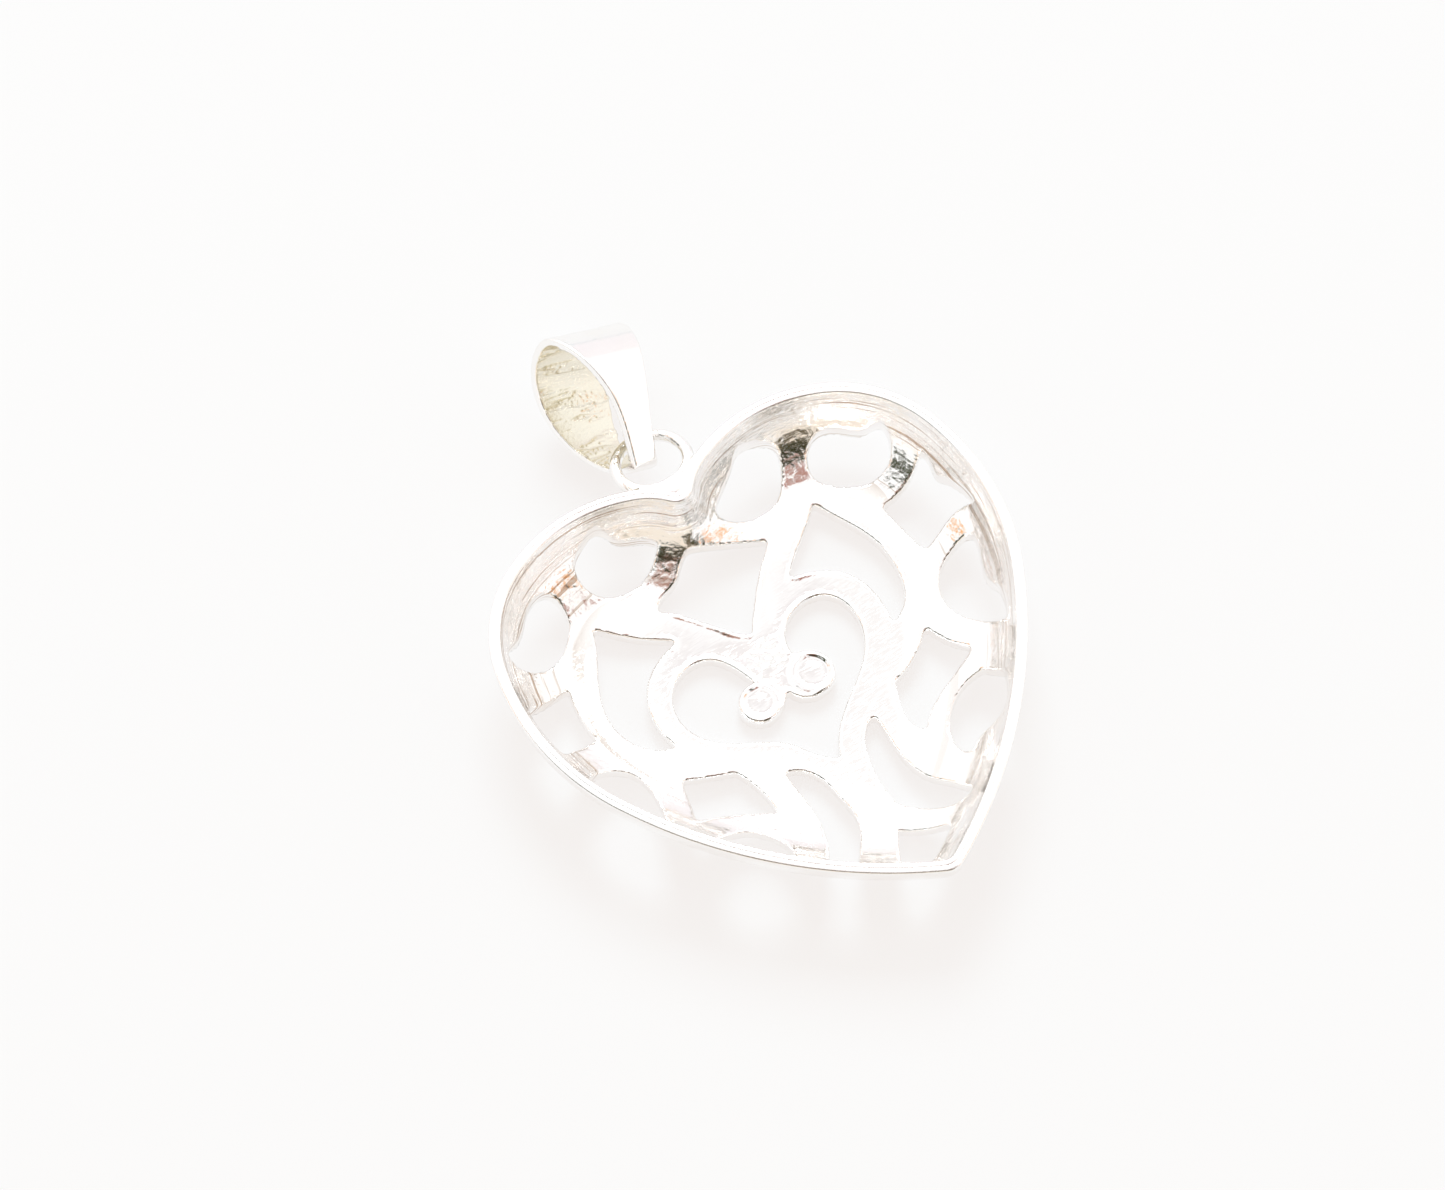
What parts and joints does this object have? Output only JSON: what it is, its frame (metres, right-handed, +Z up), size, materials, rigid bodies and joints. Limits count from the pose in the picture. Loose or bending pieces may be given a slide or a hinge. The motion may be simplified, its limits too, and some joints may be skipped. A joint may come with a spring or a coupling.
{
  "type": "heart pendant",
  "caption": "Hollow domed heart pendant, pierced with scrollwork, with a soldered ring in its cleft and a flared loose bail, lying face down.",
  "frame": {"origin": "on the surface that the pendant lies on, under the middle of its overall box", "axes": "+Z up out of the open back; +Y from the heart's tip to the bail; +X to the right of the back"},
  "size_m": [0.0324, 0.0424, 0.0075],
  "materials": {
    "heart_silver": "polished cast silver, with a grainy unpolished hollow",
    "bail_silver": "polished sheet silver, brushed inside the loop"
  },
  "bodies": {
    "root": {"heart": "heart_silver", "bail": "bail_silver"}
  },
  "joints": []
}
